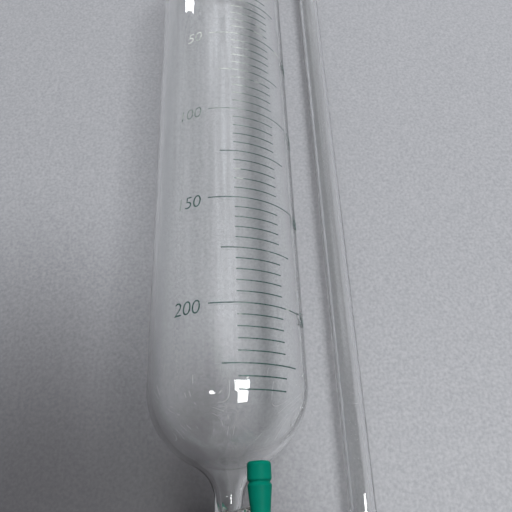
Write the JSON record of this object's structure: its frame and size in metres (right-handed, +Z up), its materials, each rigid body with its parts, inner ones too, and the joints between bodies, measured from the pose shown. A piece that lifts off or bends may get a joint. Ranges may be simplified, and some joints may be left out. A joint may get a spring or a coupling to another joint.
{
  "type": "dropping funnel",
  "caption": "Cylindrical graduated dropping funnel with a pressure-equalising side arm, a turning stopcock, and a ground joint at each end.",
  "frame": {"origin": "on the funnel's axis, at the wide end of the lower ground cone, where it seats in a flask's neck", "axes": "+Z up the funnel's axis to the upper socket, -Y to the front, where the scale and the stopcock's handle are, and +X to the side arm"},
  "size_m": [0.0718, 0.0471, 0.3845],
  "materials": {
    "clear_glass": "fire-polished borosilicate",
    "ground_glass": "fine ground taper",
    "scale_enamel": "fired green enamel print",
    "white_fluoropolymer": "machined, waxy",
    "green_plastic": "moulded, satin",
    "ring_rubber": "moulded"
  },
  "bodies": {
    "funnel_glass": {"reservoir": "clear_glass", "scale_marks": "scale_enamel", "neck_socket": "clear_glass", "stopcock_barrel": "clear_glass", "drip_tube": "clear_glass", "vapour_jacket": "clear_glass", "lower_cone": "ground_glass", "side_arm_tube": "clear_glass", "side_arm_upper_bend": "clear_glass", "side_arm_lower_bend": "clear_glass"},
    "stopcock_key": {"plug": "white_fluoropolymer", "handle": "green_plastic"},
    "tail_stack": {"tail_washer": "white_fluoropolymer", "tension_ring": "ring_rubber"},
    "nut": {"tension_nut": "green_plastic"}
  },
  "joints": [
    {"name": "plug_turn", "type": "hinge", "parent": "funnel_glass", "child": "stopcock_key", "pos_m": [0, 0, 0.05801], "axis": [0, 1, 0], "continuous": true},
    {"name": "nut_travel", "type": "slide", "parent": "stopcock_key", "child": "tail_stack", "axis": [0, 1, 0], "range_m": [0, 0.00187]},
    {"name": "nut_turn", "type": "hinge", "parent": "tail_stack", "child": "nut", "pos_m": [0, 0, 0.05801], "axis": [0, 1, 0], "range_deg": [0, 541]}
  ],
  "couplings": [
    {"joint": "nut_turn", "follows": "nut_travel", "rad_per_m": 5026.5}
  ]
}
